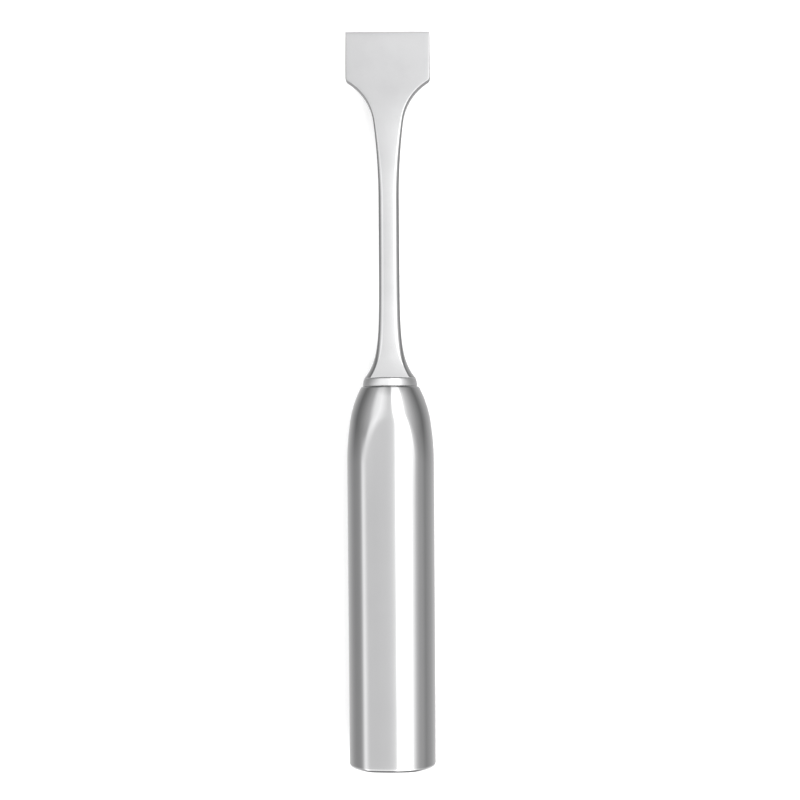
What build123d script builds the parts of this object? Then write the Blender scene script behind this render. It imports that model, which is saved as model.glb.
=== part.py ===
from build123d import *
from math import acos, atan, cos, exp, radians, sin, tan
import os

# Osteotome, a flat bone chisel all in stainless steel. A forged blade with a round bolster has its tang
# pressed into a thick turned handle. It lies on the flat along the back of the handle, edge towards +Y.
# Millimetres. Distances along the tool are counted from the seam between the bolster and the handle.

# Lengths along the tool
blade_reach = 105.3
handle_length = 113.5
blade_parallel_length = 13.8
bolster_length = 2.66
nose_length = 22.6

# Blade
blade_width = 25.0
shoulder_thickness = 3.6
hone_length = 1.5
hone_heel_thickness = 1.0
cutting_edge_thickness = 0.06
blade_edge_rounding = 0.3
tip_edge_rounding = 0.15

# Shoulders, as arcs of the outline from the shank outwards
sweep_radius = 184.0
sweep_angle = radians(7.06)
shoulder_radius = 15.95
corner_radius = 1.4

# Shank and the flare that runs out into the bolster
shank_width = 6.1
shank_thickness = 6.0
shank_edge_rounding = 1.3
flare_fade = 5.3
flare_thickness = 7.6
flare_edge_rounding = 3.0

# Bolster, with its front edge bevelled under the root of the flare, and tang
bolster_radius = 8.03
bolster_top_radius = 7.59
bolster_front_bevel = 0.45
seam_relief = 0.2
tang_diameter = 8.0
tang_length = 32.0
tang_chamfer = 0.8

# Handle
handle_diameter = 25.8
handle_rear_diameter = 25.5
nose_rim_radius = 8.67
nose_back_radius = 83.4
nose_back_angle = 8.4
flat_height = 11.55
flat_level_width = 2.4
flat_crown_radius = 20.0
flat_crown_angle = 30
striking_dome = 1.7
striking_edge_radius = 1.2

# Fit of the tang in the handle
tang_clearance = 0.04
tang_end_room = 1.5
drill_point_half_angle = radians(59)

# Fineness of the sections that the shank is drawn through
flare_count = 10
sweep_count = 4
shoulder_count = 6
corner_count = 5

# The tool lies with its axis level, centred on the origin, at the height of the flat under it
overall_length = blade_reach + handle_length
tip_y = overall_length / 2
seam_y = tip_y - blade_reach
axis_plane = Plane((0, seam_y, flat_height))
side_plane = Plane((0, seam_y, flat_height), x_dir=(0, 1, 0), z_dir=(1, 0, 0))
tool_axis = Axis((0, seam_y, flat_height), (0, 1, 0))

# Where the arcs of the outline meet
blade_half = blade_width / 2
shank_half = shank_width / 2
shoulder_at = blade_reach - blade_parallel_length
sweep_half = shank_half + sweep_radius * (1 - cos(sweep_angle))
arc_room = sweep_half + shoulder_radius * cos(sweep_angle) + corner_radius - blade_half
shoulder_angle = acos(arc_room / (shoulder_radius + corner_radius))
corner_at = shoulder_at - corner_radius * sin(shoulder_angle)
sweep_end_at = corner_at - shoulder_radius * (sin(shoulder_angle) - sin(sweep_angle))
sweep_start_at = sweep_end_at - sweep_radius * sin(sweep_angle)

# The blade tapers straight to its hone, and an arc brings that taper in from the level shank
hone_at = blade_reach - hone_length
taper_angle = atan((shoulder_thickness - hone_heel_thickness) / 2 / (hone_at - shoulder_at))
grind_radius = (shank_thickness - shoulder_thickness) / 2 / (1 - cos(taper_angle))
grind_start_at = shoulder_at - grind_radius * sin(taper_angle)
tip_stock_thickness = hone_heel_thickness - 2 * hone_length * tan(taper_angle)

# The bore takes the tang with room to spare
bore_radius = tang_diameter / 2 + tang_clearance
bore_depth = tang_length + tang_end_room


def outline_arc(start, radius, from_angle, to_angle, count):
    # Stations along one arc of the outline, each a distance and a half width, by tangent angle
    distance, half_width = start
    angles = [from_angle + (to_angle - from_angle) * step / count for step in range(1, count + 1)]
    return [
        (
            distance + radius * (sin(angle) - sin(from_angle)),
            half_width + radius * (cos(from_angle) - cos(angle)),
        )
        for angle in angles
    ]


def flare(distance):
    # Share of the flare that is left at this distance, from one at the bolster to nothing along the shank
    return exp(-(distance - bolster_length) / flare_fade)


def half_thickness(distance):
    # Level along the shank, then an arc into the taper of the blade
    along = max(0, distance - grind_start_at)
    level = shank_thickness / 2 - grind_radius + (grind_radius**2 - along**2) ** 0.5
    return level + (flare_thickness / 2 - level) * flare(distance)


def edge_rounding(distance):
    # Fine on the blade, fuller on the shank and fullest at the bolster
    share = min(1, max(0, (distance - sweep_start_at) / (shoulder_at - sweep_start_at)))
    plain = shank_edge_rounding + (blade_edge_rounding - shank_edge_rounding) * share
    return plain + (flare_edge_rounding - plain) * flare(distance)


def cross_plane(distance):
    # Plane square to the tool's axis
    return Plane((0, seam_y + distance, flat_height), x_dir=(1, 0, 0), z_dir=(0, 1, 0))


# Stations of the outline from the bolster to the full width of the blade
flare_run = sweep_start_at - bolster_length
straight_stations = [
    (bolster_length + flare_run * (step / flare_count) ** 2, shank_half) for step in range(flare_count + 1)
]
sweep_stations = outline_arc(straight_stations[-1], sweep_radius, 0, sweep_angle, sweep_count)
shoulder_stations = outline_arc(
    sweep_stations[-1], shoulder_radius, sweep_angle, shoulder_angle, shoulder_count
)
corner_stations = outline_arc(shoulder_stations[-1], -corner_radius, shoulder_angle, 0, corner_count)
stations = straight_stations + sweep_stations + shoulder_stations + corner_stations

# Section of the blade at the cutting edge, before it is honed
with BuildSketch(cross_plane(blade_reach)) as tip_section:
    RectangleRounded(blade_width, tip_stock_thickness, tip_edge_rounding)

# Blade, one forging from the cutting edge to the end of the tang
with BuildPart() as blade:
    # Shank and shoulders, drawn through sections that follow the outline
    for distance, outline_half in stations:
        half_width = outline_half + (bolster_top_radius - outline_half) * flare(distance)
        with BuildSketch(cross_plane(distance)):
            RectangleRounded(2 * half_width, 2 * half_thickness(distance), edge_rounding(distance))
    loft()
    # Root of the flare, straight back into the bolster's bevelled edge
    extrude(blade.faces().sort_by(Axis.Y)[0], amount=bolster_front_bevel)
    # Cutting blade, tapering in thickness between parallel sides
    loft(sections=[blade.faces().sort_by(Axis.Y)[-1], tip_section.sketch.face()], ruled=True)
    # Hone on both faces, down to the cutting edge
    with BuildSketch(side_plane):
        with BuildLine():
            Polyline(
                (hone_at, hone_heel_thickness / 2),
                (blade_reach, cutting_edge_thickness / 2),
                (blade_reach, hone_heel_thickness / 2),
                close=True,
            )
        make_face()
        mirror(about=Plane.XZ)
    extrude(amount=blade_half, both=True, mode=Mode.SUBTRACT)
    # Bolster and tang, turned in one with the forging
    with BuildSketch(axis_plane):
        with BuildLine():
            bolster_side = TangentArc(
                (bolster_radius, seam_relief), (bolster_top_radius, bolster_length), tangent=(0, 1)
            )
            Polyline(
                bolster_side @ 1,
                (0, bolster_length),
                (0, -tang_length),
                (tang_diameter / 2 - tang_chamfer, -tang_length),
                (tang_diameter / 2, -tang_length + tang_chamfer),
                (tang_diameter / 2, 0),
                (bolster_radius - seam_relief, 0),
                bolster_side @ 0,
            )
        make_face()
        chamfer(vertices().group_by(Axis.Y)[-1].sort_by(Axis.X)[-1], length=bolster_front_bevel)
    revolve(axis=tool_axis)
blade.part.label = "blade"

# Handle, a turned bar with a long ogive nose, two ground flats and a domed striking end
with BuildPart() as handle:
    # The bar, with the blind bore for the tang and the cone that the drill leaves at its end
    with BuildSketch(axis_plane):
        with BuildLine():
            nose_start = (handle_diameter / 2, -nose_length)
            nose_back = JernArc(
                start=nose_start, tangent=(0, 1), radius=nose_back_radius, arc_size=nose_back_angle
            )
            nose_tip = TangentArc(nose_back @ 1, (nose_rim_radius, 0), tangent=nose_back % 1)
            rear_corner = (handle_rear_diameter / 2, -handle_length + striking_dome)
            Line(nose_start, rear_corner)
            dome = TangentArc((0, -handle_length), rear_corner, tangent=(1, 0))
            Polyline(
                dome @ 0,
                (0, -bore_depth - bore_radius / tan(drill_point_half_angle)),
                (bore_radius, -bore_depth),
                (bore_radius, 0),
                nose_tip @ 1,
            )
        make_face()
        fillet(vertices().sort_by(Axis.Y)[1], radius=striking_edge_radius)
    revolve(axis=tool_axis)
    # Thumb flat and the like flat under it, level along the crest and slightly crowned to both sides
    with BuildSketch(cross_plane(0)):
        with BuildLine():
            level = Line((0, flat_height), (flat_level_width / 2, flat_height))
            crown = JernArc(start=level @ 1, tangent=(1, 0), radius=flat_crown_radius, arc_size=-flat_crown_angle)
            Polyline(crown @ 1, ((crown @ 1).X, handle_diameter), (0, handle_diameter), level @ 0)
        make_face()
        mirror(about=Plane.YZ)
        mirror(about=Plane.XZ)
    extrude(amount=-handle_length, mode=Mode.SUBTRACT)
handle.part.label = "handle"

os.makedirs("parts", exist_ok=True)
export_step(blade.part, "parts/blade.step")
export_step(handle.part, "parts/handle.step")
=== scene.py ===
import bpy
import bmesh
import math
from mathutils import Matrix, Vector


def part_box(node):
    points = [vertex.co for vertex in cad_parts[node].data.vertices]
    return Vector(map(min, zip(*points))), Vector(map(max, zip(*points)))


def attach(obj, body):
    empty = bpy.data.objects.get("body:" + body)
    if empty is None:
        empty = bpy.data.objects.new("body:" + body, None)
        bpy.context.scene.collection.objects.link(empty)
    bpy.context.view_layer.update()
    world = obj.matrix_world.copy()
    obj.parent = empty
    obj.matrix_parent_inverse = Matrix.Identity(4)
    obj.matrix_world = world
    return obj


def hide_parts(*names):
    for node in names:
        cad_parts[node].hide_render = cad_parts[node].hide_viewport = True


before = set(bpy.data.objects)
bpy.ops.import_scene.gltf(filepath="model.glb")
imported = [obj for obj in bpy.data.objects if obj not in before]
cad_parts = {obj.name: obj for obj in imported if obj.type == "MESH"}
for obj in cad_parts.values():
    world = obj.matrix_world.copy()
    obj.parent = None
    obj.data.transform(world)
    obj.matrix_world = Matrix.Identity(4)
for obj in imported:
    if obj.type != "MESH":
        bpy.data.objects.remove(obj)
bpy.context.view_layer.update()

scene = bpy.context.scene
scene.view_settings.view_transform = "Standard"
lowHandle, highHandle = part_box("handle")
axisHeight = (lowHandle.z + highHandle.z) / 2  # the tool's axis lies halfway up the handle
seamAt = highHandle.y  # the handle ends here and the bolster begins
mm = 0.001
mergeWithin = 0.002  # mm
rollMergeWithin = 0.0005  # mm, where the blade's rolled skin meets itself
sharpAngle = 32  # degrees
print("frame loaded")


# shader maths and nodes
class Socket:  # an output that can stand in a sum
    def __init__(self, tree, link):
        self.tree = tree
        self.link = link

    def maths(self, operation, *others, reflected=False):
        values = [*others, self] if reflected else [self, *others]
        return self.tree.add("ShaderNodeMath", {"operation": operation}, values)

    def __add__(self, other):
        return self.maths("ADD", other)

    def __sub__(self, other):
        return self.maths("SUBTRACT", other)

    def __mul__(self, other):
        return self.maths("MULTIPLY", other)

    def __truediv__(self, other):
        return self.maths("DIVIDE", other)

    def __rsub__(self, other):
        return self.maths("SUBTRACT", other, reflected=True)

    def __rtruediv__(self, other):
        return self.maths("DIVIDE", other, reflected=True)

    __radd__ = __add__
    __rmul__ = __mul__


class Tree:  # every node comes from add: its type, its settings, then its values or links
    def __init__(self, owner):
        owner.use_nodes = True
        self.nodes = owner.node_tree.nodes
        self.links = owner.node_tree.links
        self.nodes.clear()

    def add(self, kind, settings=None, inputs=None, out=0):
        node = self.nodes.new(kind)
        for name, value in (settings or {}).items():
            if name == "stops":
                ramp = node.color_ramp.elements
                while len(ramp) < len(value):
                    ramp.new(0.5)
                for stop, (position, level) in zip(ramp, value):
                    stop.position = position
                    stop.color = (level, level, level, 1)
            else:
                setattr(node, name, value)
        pairs = inputs.items() if isinstance(inputs, dict) else enumerate(inputs or [])
        for name, value in pairs:
            if isinstance(value, Socket):
                self.links.new(value.link, node.inputs[name])
            else:
                node.inputs[name].default_value = value
        return Socket(self, node.outputs[out]) if node.outputs else node

    def blend(self, factor, first, second, how="MIX"):  # of two colours, its sockets 6 and 7
        settings = {"data_type": "RGBA", "blend_type": how}
        return self.add("ShaderNodeMix", settings, {0: factor, 6: first, 7: second}, 2)

    def rise(self, value, start, end):  # from nothing at the start to one at the end
        span = {"Value": value, "From Min": start, "From Max": end}
        return self.add("ShaderNodeMapRange", {}, span)


# what both pieces need
def finishPiece(name, bm, material, node):
    bmesh.ops.remove_doubles(bm, verts=bm.verts[:], dist=mergeWithin)
    bmesh.ops.recalc_face_normals(bm, faces=bm.faces[:])
    for face in bm.faces:
        face.smooth = True
    bmesh.ops.scale(bm, vec=(mm, mm, mm), verts=bm.verts[:])
    bmesh.ops.translate(bm, vec=(0, seamAt, axisHeight), verts=bm.verts[:])
    mesh = bpy.data.meshes.new(name)
    bm.to_mesh(mesh)
    bm.free()
    mesh.set_sharp_from_angle(angle=math.radians(sharpAngle))
    mesh.materials.append(material)
    piece = bpy.data.objects.new(name, mesh)
    scene.collection.objects.link(piece)
    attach(piece, "root")
    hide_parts(node)
    print(name, "made,", len(mesh.polygons), "faces")


def turn(bm, vert, centre, degrees, steps):  # a profile's arc, by turning its end about a centre
    made = bmesh.ops.spin(
        bm,
        geom=[vert],
        cent=(*centre, 0),
        axis=(0, 0, 1),
        angle=math.radians(degrees),
        steps=steps,
    )
    return [part for part in made["geom_last"] if isinstance(part, bmesh.types.BMVert)][-1]


def run(bm, vert, end, steps=1):  # a profile's straight run
    start, end = vert.co.copy(), Vector((*end, 0))
    for step in range(1, steps + 1):
        vert = bmesh.ops.extrude_vert_indiv(bm, verts=[vert])["verts"][0]
        vert.co = start.lerp(end, step / steps)
    return vert


def spinAround(bm, steps):  # the whole profile, all the way about the tool's axis
    bmesh.ops.spin(
        bm,
        geom=bm.verts[:] + bm.edges[:],
        cent=(0, 0, 0),
        axis=(0, 1, 0),
        angle=math.tau,
        steps=steps,
        use_merge=True,
    )


def smoothMin(a, b, softness):
    near = max(softness - abs(a - b), 0) / softness
    return min(a, b) - near * near * softness / 4


def clamp(share):
    return min(1, max(0, share))


# handle, in mm, along the tool from the seam and out from its axis
handle = {
    "length": 113.5,
    "frontRadius": 12.88,
    "rearRadius": 12.75,
    "noseLength": 22.6,
    "noseRadius": 83.4,
    "noseTurn": 8.4,  # degrees, of the arc beside the body, before the ogive's tighter one
    "rimRadius": 8.67,
    "rimSoftness": 0.15,
    "boreRadius": 4.04,
    "boreDepth": 33.5,
    "drillTurn": 31,  # degrees, how far the bore's cone leans from square
    "domeHeight": 1.7,
    "cornerRadius": 1.2,
    "flatHeight": 11.55,
    "flatRadius": 26.0,  # of its slight crown
    "flatSoftness": 0.42,
    "endShare": 0.96,  # of the corner, along which the flat's end is rounded
    "endSlope": 3.5,  # how steeply it falls after that
    "around": 288,
    "noseSteps": 18,
    "ogiveSteps": 26,
    "rimSteps": 3,
    "boreSteps": 5,
    "bodySteps": 24,
    "cornerSteps": 10,
    "domeSteps": 16,
}


def makeHandle(size, material):
    bm = bmesh.new()
    front, rear, length = size["frontRadius"], size["rearRadius"], size["length"]
    # nose, from the body forwards to the rim, and the bore
    body = bm.verts.new((front, -size["noseLength"], 0))
    noseCentre = (front - size["noseRadius"], -size["noseLength"])
    noseEnd = turn(bm, body, noseCentre, size["noseTurn"], size["noseSteps"])
    rimStart = Vector((size["rimRadius"], -size["rimSoftness"]))
    tilt = math.radians(size["noseTurn"])
    inward = Vector((-math.cos(tilt), -math.sin(tilt)))
    chord = rimStart - noseEnd.co.xy
    ogiveRadius = chord.length_squared / (2 * chord.dot(inward))
    ogiveCentre = noseEnd.co.xy + inward * ogiveRadius
    ogiveTurn = math.degrees(2 * math.asin(chord.length / 2 / ogiveRadius))
    rim = turn(bm, noseEnd, ogiveCentre, ogiveTurn, size["ogiveSteps"])
    rim = run(bm, rim, (size["rimRadius"] - size["rimSoftness"], 0))
    rim = run(bm, rim, (size["boreRadius"], 0), size["rimSteps"])
    bore = run(bm, rim, (size["boreRadius"], -size["boreDepth"]), size["boreSteps"])
    cone = size["boreRadius"] * math.tan(math.radians(size["drillTurn"]))
    run(bm, bore, (0, -size["boreDepth"] - cone))
    # body and striking end, from the nose backwards
    dome = (rear**2 + size["domeHeight"] ** 2) / (2 * size["domeHeight"])
    corner = size["cornerRadius"]
    reach = rear - corner
    domeTurn = math.degrees(math.asin(reach / (dome - corner)))
    cornerAt = -length + dome - math.sqrt((dome - corner) ** 2 - reach**2)
    back = run(bm, body, (rear, cornerAt), size["bodySteps"])
    back = turn(bm, back, (reach, cornerAt), domeTurn - 90, size["cornerSteps"])
    turn(bm, back, (0, -length + dome), -domeTurn, size["domeSteps"])
    spinAround(bm, size["around"])
    # flats, slightly crowned, their edges and their ends softened by the polishing wheel
    crown = size["flatRadius"]
    for vert in bm.verts:
        x, y, z = vert.co
        past = max(0, cornerAt - y)
        rounded = min(past, corner * size["endShare"])
        drop = corner - math.sqrt(corner**2 - rounded**2) + (past - rounded) * size["endSlope"]
        flat = size["flatHeight"] - drop - crown + math.sqrt(crown**2 - x * x)
        vert.co.z = math.copysign(smoothMin(abs(z), flat, size["flatSoftness"]), z)
    finishPiece("turnedHandle", bm, material, "handle")


# blade, in mm, the same way
blade = {
    "reach": 105.29,
    "parallelLength": 13.8,
    "width": 25.0,
    "shoulderThickness": 3.6,
    "honeLength": 1.5,
    "honeThickness": 1.0,
    "edgeThickness": 0.06,
    "edgeShare": 0.9,  # of half that thickness, which is round
    "bladeRounding": 0.36,
    "tipRounding": 0.15,
    "sweepRadius": 184.0,
    "sweepTurn": 7.06,  # degrees
    "shoulderRadius": 15.95,
    "cornerRadius": 1.4,
    "shankWidth": 6.1,
    "shankThickness": 6.0,
    "shankRounding": 1.5,
    "shankCrown": 0.035,  # share by which its faces fall off towards their edges
    "flareFade": 5.3,
    "flareThickness": 7.6,
    "flareRounding": 3.0,
    "flareFace": 0.76,  # share of its width that its ground faces take
    "roundFrom": 0.15,  # how much of the flare is left where its sides start to turn round
    "roundTo": 0.5,  # and where they are fully round, with crisp edges to the faces
    "flareRoot": 0.75,  # how far it goes on into the bolster
    "bolsterLength": 2.66,
    "bolsterRadius": 8.03,
    "bolsterTopRadius": 7.59,
    "bolsterRounding": 0.7,
    "seamRelief": 0.2,
    "tangRadius": 4.0,
    "tangLength": 32.0,
    "tangChamfer": 0.8,
    "around": 192,
    "discSteps": 4,
    "roundingSteps": 12,
    "sideSteps": 8,
    "flareSteps": 44,
    "sweepSteps": 14,
    "shoulderSteps": 22,
    "cornerSteps": 10,
    "bladeShares": (0.04, 0.3, 0.6),  # of the way from the corners to the tip
    # places across each face of a section, closer set near its ends, and steps round its edges
    "faceShares": (-1, -0.95, -0.8, -0.6, -0.4, -0.2, 0, 0.2, 0.4, 0.6, 0.8, 0.95),
    "edgeSteps": 14,
}


def spinBolster(bm, size):  # with the tang, from the middle of its front to the tang's end
    radius, relief, rounding = size["bolsterRadius"], size["seamRelief"], size["bolsterRounding"]
    front, tang, chamfer = size["bolsterLength"], size["tangRadius"], size["tangChamfer"]
    end = -size["tangLength"]
    side = front - relief
    narrowing = radius - size["bolsterTopRadius"]
    bulge = (side**2 + narrowing**2) / (2 * narrowing)
    lean = math.asin((side - rounding) / (bulge - rounding))
    edge = radius - bulge + (bulge - rounding) * math.cos(lean)
    sideTurn = math.degrees(lean)
    vert = bm.verts.new((0, front, 0))
    vert = run(bm, vert, (edge, front), size["discSteps"])
    vert = turn(bm, vert, (edge, front - rounding), sideTurn - 90, size["roundingSteps"])
    vert = turn(bm, vert, (radius - bulge, relief), -sideTurn, size["sideSteps"])
    vert = run(bm, vert, (radius - relief, 0))
    for place in ((tang, 0), (tang, end + chamfer), (tang - chamfer, end), (0, end)):
        vert = run(bm, vert, place)
    spinAround(bm, size["around"])


def bladeStations(size):
    # of each section: distance, half width, half thickness, rounding, crown and roundness
    half = size["width"] / 2
    shank = size["shankWidth"] / 2
    root = size["bolsterLength"]
    top = size["bolsterTopRadius"]
    sweepTurn = math.radians(size["sweepTurn"])
    shoulderAt = size["reach"] - size["parallelLength"]
    sweepHalf = shank + size["sweepRadius"] * (1 - math.cos(sweepTurn))
    room = sweepHalf + size["shoulderRadius"] * math.cos(sweepTurn) + size["cornerRadius"] - half
    shoulderTurn = math.acos(room / (size["shoulderRadius"] + size["cornerRadius"]))
    cornerAt = shoulderAt - size["cornerRadius"] * math.sin(shoulderTurn)
    sweepEnd = cornerAt - size["shoulderRadius"] * (math.sin(shoulderTurn) - math.sin(sweepTurn))
    sweepStart = sweepEnd - size["sweepRadius"] * math.sin(sweepTurn)
    honeAt = size["reach"] - size["honeLength"]
    thinning = size["shoulderThickness"] - size["honeThickness"]
    taper = math.atan(thinning / 2 / (honeAt - shoulderAt))
    grind = (size["shankThickness"] - size["shoulderThickness"]) / 2 / (1 - math.cos(taper))
    grindStart = shoulderAt - grind * math.sin(taper)

    def section(distance, outline):
        flare = min(1, math.exp(-(distance - root) / size["flareFade"]))
        along = max(0, distance - grindStart)
        level = size["shankThickness"] / 2 - grind + math.sqrt(grind**2 - along**2)
        fade = clamp((distance - sweepStart) / (shoulderAt - sweepStart))
        plain = size["shankRounding"] + (size["bladeRounding"] - size["shankRounding"]) * fade
        return (
            distance,
            outline + (top - outline) * flare,
            level + (size["flareThickness"] / 2 - level) * flare,
            plain + (size["flareRounding"] - plain) * flare,
            size["shankCrown"] * (1 - flare) * (1 - fade),
            clamp((flare - size["roundFrom"]) / (size["roundTo"] - size["roundFrom"])),
        )

    def arc(start, radius, first, last, steps):
        angles = [first + (last - first) * step / steps for step in range(1, steps + 1)]
        return [
            (
                start[0] + radius * (math.sin(angle) - math.sin(first)),
                start[1] + radius * (math.cos(first) - math.cos(angle)),
            )
            for angle in angles
        ]

    # outline, from inside the bolster to the full width, closer set near the bolster
    flareSteps, shoulderSteps = size["flareSteps"], size["shoulderSteps"]
    shares = [(step / flareSteps) ** 2 for step in range(flareSteps + 1)]
    outline = [(root - size["flareRoot"], shank)]
    outline += [(root + (sweepStart - root) * share, shank) for share in shares]
    outline += arc(outline[-1], size["sweepRadius"], 0, sweepTurn, size["sweepSteps"])
    outline += arc(outline[-1], size["shoulderRadius"], sweepTurn, shoulderTurn, shoulderSteps)
    outline += arc(outline[-1], -size["cornerRadius"], shoulderTurn, 0, size["cornerSteps"])
    stations = [section(*place) for place in outline]
    # blade, straight to the hone, and the cutting edge
    tipThickness = size["honeThickness"] - 2 * size["honeLength"] * math.tan(taper)
    corner = stations[-1]
    tip = (size["reach"], half, tipThickness / 2, size["tipRounding"], 0, 0)
    for share in (*size["bladeShares"], 1 - size["honeLength"] / size["parallelLength"]):
        stations.append(tuple(a + (b - a) * share for a, b in zip(corner, tip)))
    edge = size["edgeThickness"] / 2
    stations.append((size["reach"], half, edge, edge * size["edgeShare"], 0, 0))
    return stations


def makeBlade(size, material):
    # a sheet of quads is rolled up into the forging's skin, one row to a station
    stations = bladeStations(size)
    straight, bend = len(size["faceShares"]), size["edgeSteps"]
    around = 4 * (straight + bend)

    def skin(index, station):
        distance, wide, thick, rounding, crown, roundness = station
        quarter, step = divmod(index % around, straight + bend)
        toSide = quarter in (0, 2)
        reachX, reachZ = wide - rounding, thick - rounding
        if step < straight:
            share = size["faceShares"][step]
            x, z = (wide, reachZ * share) if toSide else (-reachX * share, thick)
        else:
            angle = math.pi / 2 * ((step - straight) / bend + (0 if toSide else 1))
            x = (reachX if toSide else -reachX) + rounding * math.cos(angle)
            z = reachZ + rounding * math.sin(angle)
        deep = thick / math.sqrt(1 - size["flareFace"] ** 2)
        if toSide or step >= straight:
            bulged = math.copysign(wide * math.sqrt(1 - (z / deep) ** 2), x)
        else:
            bulged = x / reachX * wide * size["flareFace"]
        x += (bulged - x) * roundness
        if quarter >= 2:
            x, z = -x, -z
        narrow, thin = 1 - crown * (z / thick) ** 2, 1 - crown * (x / wide) ** 2
        return Vector((x * narrow, distance, z * thin))

    bm = bmesh.new()
    last = len(stations) - 1
    bmesh.ops.create_grid(bm, x_segments=around, y_segments=last, size=1)
    for vert in bm.verts:
        index = round((vert.co.x + 1) / 2 * around)
        row = round((vert.co.y + 1) / 2 * last)
        vert.co = skin(index, stations[row])
    bmesh.ops.remove_doubles(bm, verts=bm.verts[:], dist=rollMergeWithin)
    bmesh.ops.holes_fill(bm, edges=[edge for edge in bm.edges if edge.is_boundary], sides=0)
    # the turned bolster and tang join it as a closed shell of their own
    turned = bmesh.new()
    spinBolster(turned, size)
    disc = bpy.data.meshes.new("disc")
    turned.to_mesh(disc)
    turned.free()
    bm.from_mesh(disc)
    bpy.data.meshes.remove(disc)
    finishPiece("forgedBlade", bm, material, "blade")


# steel, with colours, scales in cycles to a metre, and places along the tool in metres
bladeLook = {
    "colour": (0.575, 0.575, 0.58, 1),
    "darkColour": (0.515, 0.515, 0.52, 1),
    "groundColour": (0.465, 0.465, 0.47, 1),
    "darkGround": (0.415, 0.415, 0.42, 1),
    # painted shade for the narrow sides of the ground faces
    "paintedSideShade": (0.2, 0.2, 0.205, 1),
    "sideShadeFrom": 0.62,  # how far a face points up where the painted shade of the sides starts
    "sideShadeTo": 0.3,
    "shade": 0.1,
    "cloudShade": 0.9,
    "cloudScale": (60.0, 60.0, 60.0),
    "cloudDetail": 3.0,
    "hazeShade": 0.5,
    "hazeScale": (300.0, 220.0, 300.0),
    "hazeDetail": 3.0,
    "grainScale": (9000.0, 400.0, 9000.0),
    "grainDetail": 4.0,
    "lineScale": (500.0, 9000.0, 9000.0),
    "lineDetail": 2.0,
    "roughness": 0.15,
    "cloudRough": 0.07,
    "grainRough": 0.03,
    "groundFrom": 0.066,
    "groundTo": 0.092,
    "groundRough": 0.02,
    "lineRough": 0.04,
    "zones": [  # from and to, then the colour and how much duller
        (0.0125, 0.0072, (0.5, 0.5, 0.505, 1), 0.0),  # painted shade at the root of the flare, where it meets the bolster
        (0.0071, 0.0062, (0.63, 0.63, 0.635, 1), 0.2),  # satin bolster, rougher, with a lighter colour as a painted highlight
    ],
    "bump": 0.03,
    "bumpHeight": 0.00002,
}
handleLook = {
    "colour": (0.53, 0.53, 0.535, 1),
    "darkColour": (0.49, 0.49, 0.495, 1),
    "groundColour": (0.53, 0.53, 0.535, 1),
    "darkGround": (0.49, 0.49, 0.495, 1),
    # the same as the steel, so the handle's sides get no painted shade
    "paintedSideShade": (0.53, 0.53, 0.535, 1),
    "sideShadeFrom": 0.62,
    "sideShadeTo": 0.3,
    "shade": 0.1,
    "cloudShade": 0.9,
    "cloudScale": (50.0, 30.0, 50.0),
    "cloudDetail": 3.0,
    "hazeShade": 0.5,
    "hazeScale": (260.0, 130.0, 260.0),
    "hazeDetail": 3.0,
    "grainScale": (6000.0, 250.0, 6000.0),
    "grainDetail": 4.0,
    "lineScale": (700.0, 700.0, 700.0),
    "lineDetail": 2.0,
    "roughness": 0.06,
    "cloudRough": 0.04,
    "grainRough": 0.02,
    "groundFrom": -0.1085,  # only the striking end is left ground
    "groundTo": -0.1094,
    "groundRough": 0.05,
    "lineRough": 0.05,
    "zones": [],
    "bump": 0.02,
    "bumpHeight": 0.00002,
}


def makeSteel(name, look):
    material = bpy.data.materials.new(name)
    tree = Tree(material)
    place = tree.add("ShaderNodeTexCoord", out="Object")
    along = tree.add("ShaderNodeSeparateXYZ", {}, [place], "Y")

    def noise(kind):  # the same size all ways, or drawn out where a scale is small
        scale, detail = look[kind + "Scale"], look[kind + "Detail"]
        spread = tree.add("ShaderNodeMapping", {}, {"Vector": place, "Scale": scale})
        spots = {"Vector": spread, "Scale": 1.0, "Detail": detail}
        return tree.add("ShaderNodeTexNoise", {}, spots)

    cloud, haze, grain, lines = [noise(kind) for kind in ("cloud", "haze", "grain", "line")]
    shade = cloud * look["cloudShade"] + haze * look["hazeShade"] + look["shade"]
    polished = tree.blend(shade, look["darkColour"], look["colour"])
    # where the wheel ground it: a little greyer, with finer lines, and painted shade on the
    # narrow sides, darker the less they face up
    ground = tree.rise(along, look["groundFrom"], look["groundTo"])
    facing = tree.add("ShaderNodeNewGeometry", out="Normal")
    upward = tree.add("ShaderNodeSeparateXYZ", {}, [facing], "Z").maths("ABSOLUTE")
    shadedSide = tree.rise(upward, look["sideShadeFrom"], look["sideShadeTo"])
    faces = tree.blend(shade, look["darkGround"], look["groundColour"])
    colour = tree.blend(ground, polished, tree.blend(shadedSide, faces, look["paintedSideShade"]))
    rough = look["roughness"] + cloud * look["cloudRough"] + grain * look["grainRough"]
    rough = rough + ground * (lines * look["lineRough"] + look["groundRough"])
    # each zone paints its shade or highlight into the colour and adds its roughness
    for start, end, tint, duller in look["zones"]:
        zone = tree.rise(along, start, end)
        colour = tree.blend(zone, colour, tint)
        rough = rough + zone * duller
    height = grain + ground * (lines - grain)
    relief = {"Strength": look["bump"], "Distance": look["bumpHeight"], "Height": height}
    bump = tree.add("ShaderNodeBump", {}, relief)
    surface = {"Base Color": colour, "Metallic": 1.0, "Roughness": rough, "Normal": bump}
    steel = tree.add("ShaderNodeBsdfPrincipled", {}, surface)
    tree.add("ShaderNodeOutputMaterial", {}, {"Surface": steel})
    return material


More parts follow.
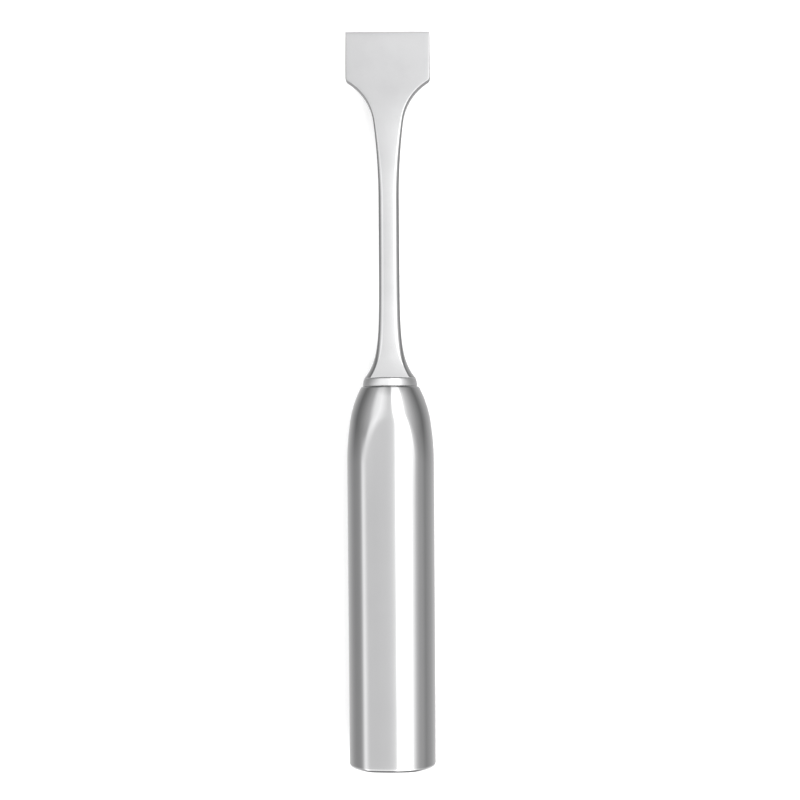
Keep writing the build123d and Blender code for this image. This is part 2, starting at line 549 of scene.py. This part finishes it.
# light, floor and camera
# levels of light by the angle across the tool, in degrees from straight up, left is minus:
# one set for light that comes straight across, one for light from ahead of the cutting edge
studio = {
    "strength": 2.0,
    "middle": 0.6,  # the share along the tool at which the strength holds
    "across": [
        (-180, 0.42),
        (-151, 0.37),
        (-134, 0.31),
        (-122, 0.255),
        (-112, 0.225),
        (-100, 0.232),
        (-92, 0.26),
        (-87, 0.35),
        (-80, 0.6),
        (-72, 0.74),
        (-62, 0.75),
        (-54, 0.67),
        (-44, 0.57),
        (-34, 0.52),
        (-20, 0.51),
        (-8, 0.53),
        (-3, 0.55),
        (1, 0.6),
        (4, 0.68),
        (6.5, 0.78),
        (6.9, 1.5),
        (25, 1.5),
        (28, 0.9),
        (40, 0.62),
        (54, 0.43),
        (72, 0.33),
        (90, 0.28),
        (102, 0.21),
        (118, 0.26),
        (144, 0.36),
        (180, 0.42),
    ],
    "ahead": [
        (-180, 0.4),
        (-150, 0.34),
        (-130, 0.23),
        (-112, 0.12),
        (-100, 0.15),
        (-84, 0.24),
        (-66, 0.37),
        (-50, 0.74),
        (-32, 0.86),
        (-8, 0.61),
        (1, 0.6),
        (5.8, 0.8),
        (6.3, 1.5),
        (42, 1.5),
        (46, 0.82),
        (56, 0.54),
        (68, 0.39),
        (80, 0.27),
        (92, 0.19),
        (104, 0.13),
        (116, 0.19),
        (127, 0.27),
        (150, 0.34),
        (180, 0.4),
    ],
    "aheadFrom": -0.03,
    "aheadTo": 0.17,
    # share of that light by where it comes from along the tool, from -1 behind it to 1 ahead
    "along": [
        (-1, 0.2),
        (-0.92, 0.2),
        (-0.68, 1.0),
        (-0.5, 1.0),
        (-0.25, 0.6),
        (0.7, 0.6),
        (0.95, 0.12),
        (1, 0.12),
    ],
    "backdrop": (1, 1, 1, 1),
    "backdropStrength": 1.1,
}


def makeWorld(light):
    world = bpy.data.worlds.new("studio")
    scene.world = world
    tree = Tree(world)
    way = tree.add("ShaderNodeTexCoord", out="Generated")
    x, y, z = [tree.add("ShaderNodeSeparateXYZ", {}, [way], part) for part in "XYZ"]

    def ramp(stops, value):
        return tree.add("ShaderNodeValToRGB", {"stops": stops}, [value])

    angle = x.maths("ARCTAN2", z) / math.tau + 0.5
    across, ahead = [
        ramp([(degrees / 360 + 0.5, level) for degrees, level in light[side]], angle)
        for side in ("across", "ahead")
    ]
    level = tree.blend(tree.rise(y, light["aheadFrom"], light["aheadTo"]), across, ahead)
    fall = ramp([((place + 1) / 2, share) for place, share in light["along"]], y * 0.5 + 0.5)
    lit = tree.blend(1.0, level, fall, "MULTIPLY")
    # what lies past the edge of the table is plain and pale to the camera
    seen = tree.add("ShaderNodeLightPath", out="Is Camera Ray")
    strength = light["strength"] / light["middle"]
    glow = tree.add("ShaderNodeBackground", {}, {"Color": lit, "Strength": strength})
    plain = {"Color": light["backdrop"], "Strength": light["backdropStrength"]}
    pale = tree.add("ShaderNodeBackground", {}, plain)
    shown = tree.add("ShaderNodeMixShader", {}, [seen, glow, pale])
    tree.add("ShaderNodeOutputWorld", {}, {"Surface": shown})
    print("light set")


table = {
    "size": 6.0,  # metres
    "colour": (0.86, 0.86, 0.86, 1),
    "roughness": 0.6,
    "gloss": 0.2,
    "glow": 0.25,
}


def makeFloor(look):
    material = bpy.data.materials.new("paleTable")
    tree = Tree(material)
    surface = tree.add(
        "ShaderNodeBsdfPrincipled",
        {},
        {
            "Base Color": look["colour"],
            "Roughness": look["roughness"],
            "Specular IOR Level": look["gloss"],
            "Emission Color": look["colour"],
            "Emission Strength": look["glow"],
        },
    )
    tree.add("ShaderNodeOutputMaterial", {}, {"Surface": surface})
    bm = bmesh.new()
    bmesh.ops.create_grid(bm, x_segments=1, y_segments=1, size=look["size"] / 2)
    mesh = bpy.data.meshes.new("floor")
    bm.to_mesh(mesh)
    bm.free()
    mesh.materials.append(material)
    floor = bpy.data.objects.new("floor", mesh)
    scene.collection.objects.link(floor)
    # the steel mirrors the studio, which is darker low down than the table is
    floor.visible_glossy = False
    print("floor laid")


view = {
    "distance": 0.450,  # metres above the tool's axis
    "across": 0.0028,  # where the camera hangs, a little nearer to the handle than to the blade
    "along": -0.015,
    "lens": 68.35,
    "sensor": 36,
    "nearest": 0.01,
    "shift": 0.0644,
    "roll": 0.42,  # degrees, the edge leaning left
}


def makeCamera(place):
    data = bpy.data.cameras.new("camera")
    data.lens = place["lens"]
    data.shift_y = place["shift"]
    data.sensor_width = place["sensor"]
    data.sensor_fit = "HORIZONTAL"
    data.clip_start = place["nearest"]
    camera = bpy.data.objects.new("camera", data)
    scene.collection.objects.link(camera)
    camera.location = (place["across"], place["along"], axisHeight + place["distance"])
    camera.rotation_euler = (0, 0, math.radians(-place["roll"]))
    scene.camera = camera
    print("camera set")


makeCamera(view)
makeWorld(studio)
makeFloor(table)
makeHandle(handle, makeSteel("handleSteel", handleLook))
makeBlade(blade, makeSteel("bladeSteel", bladeLook))
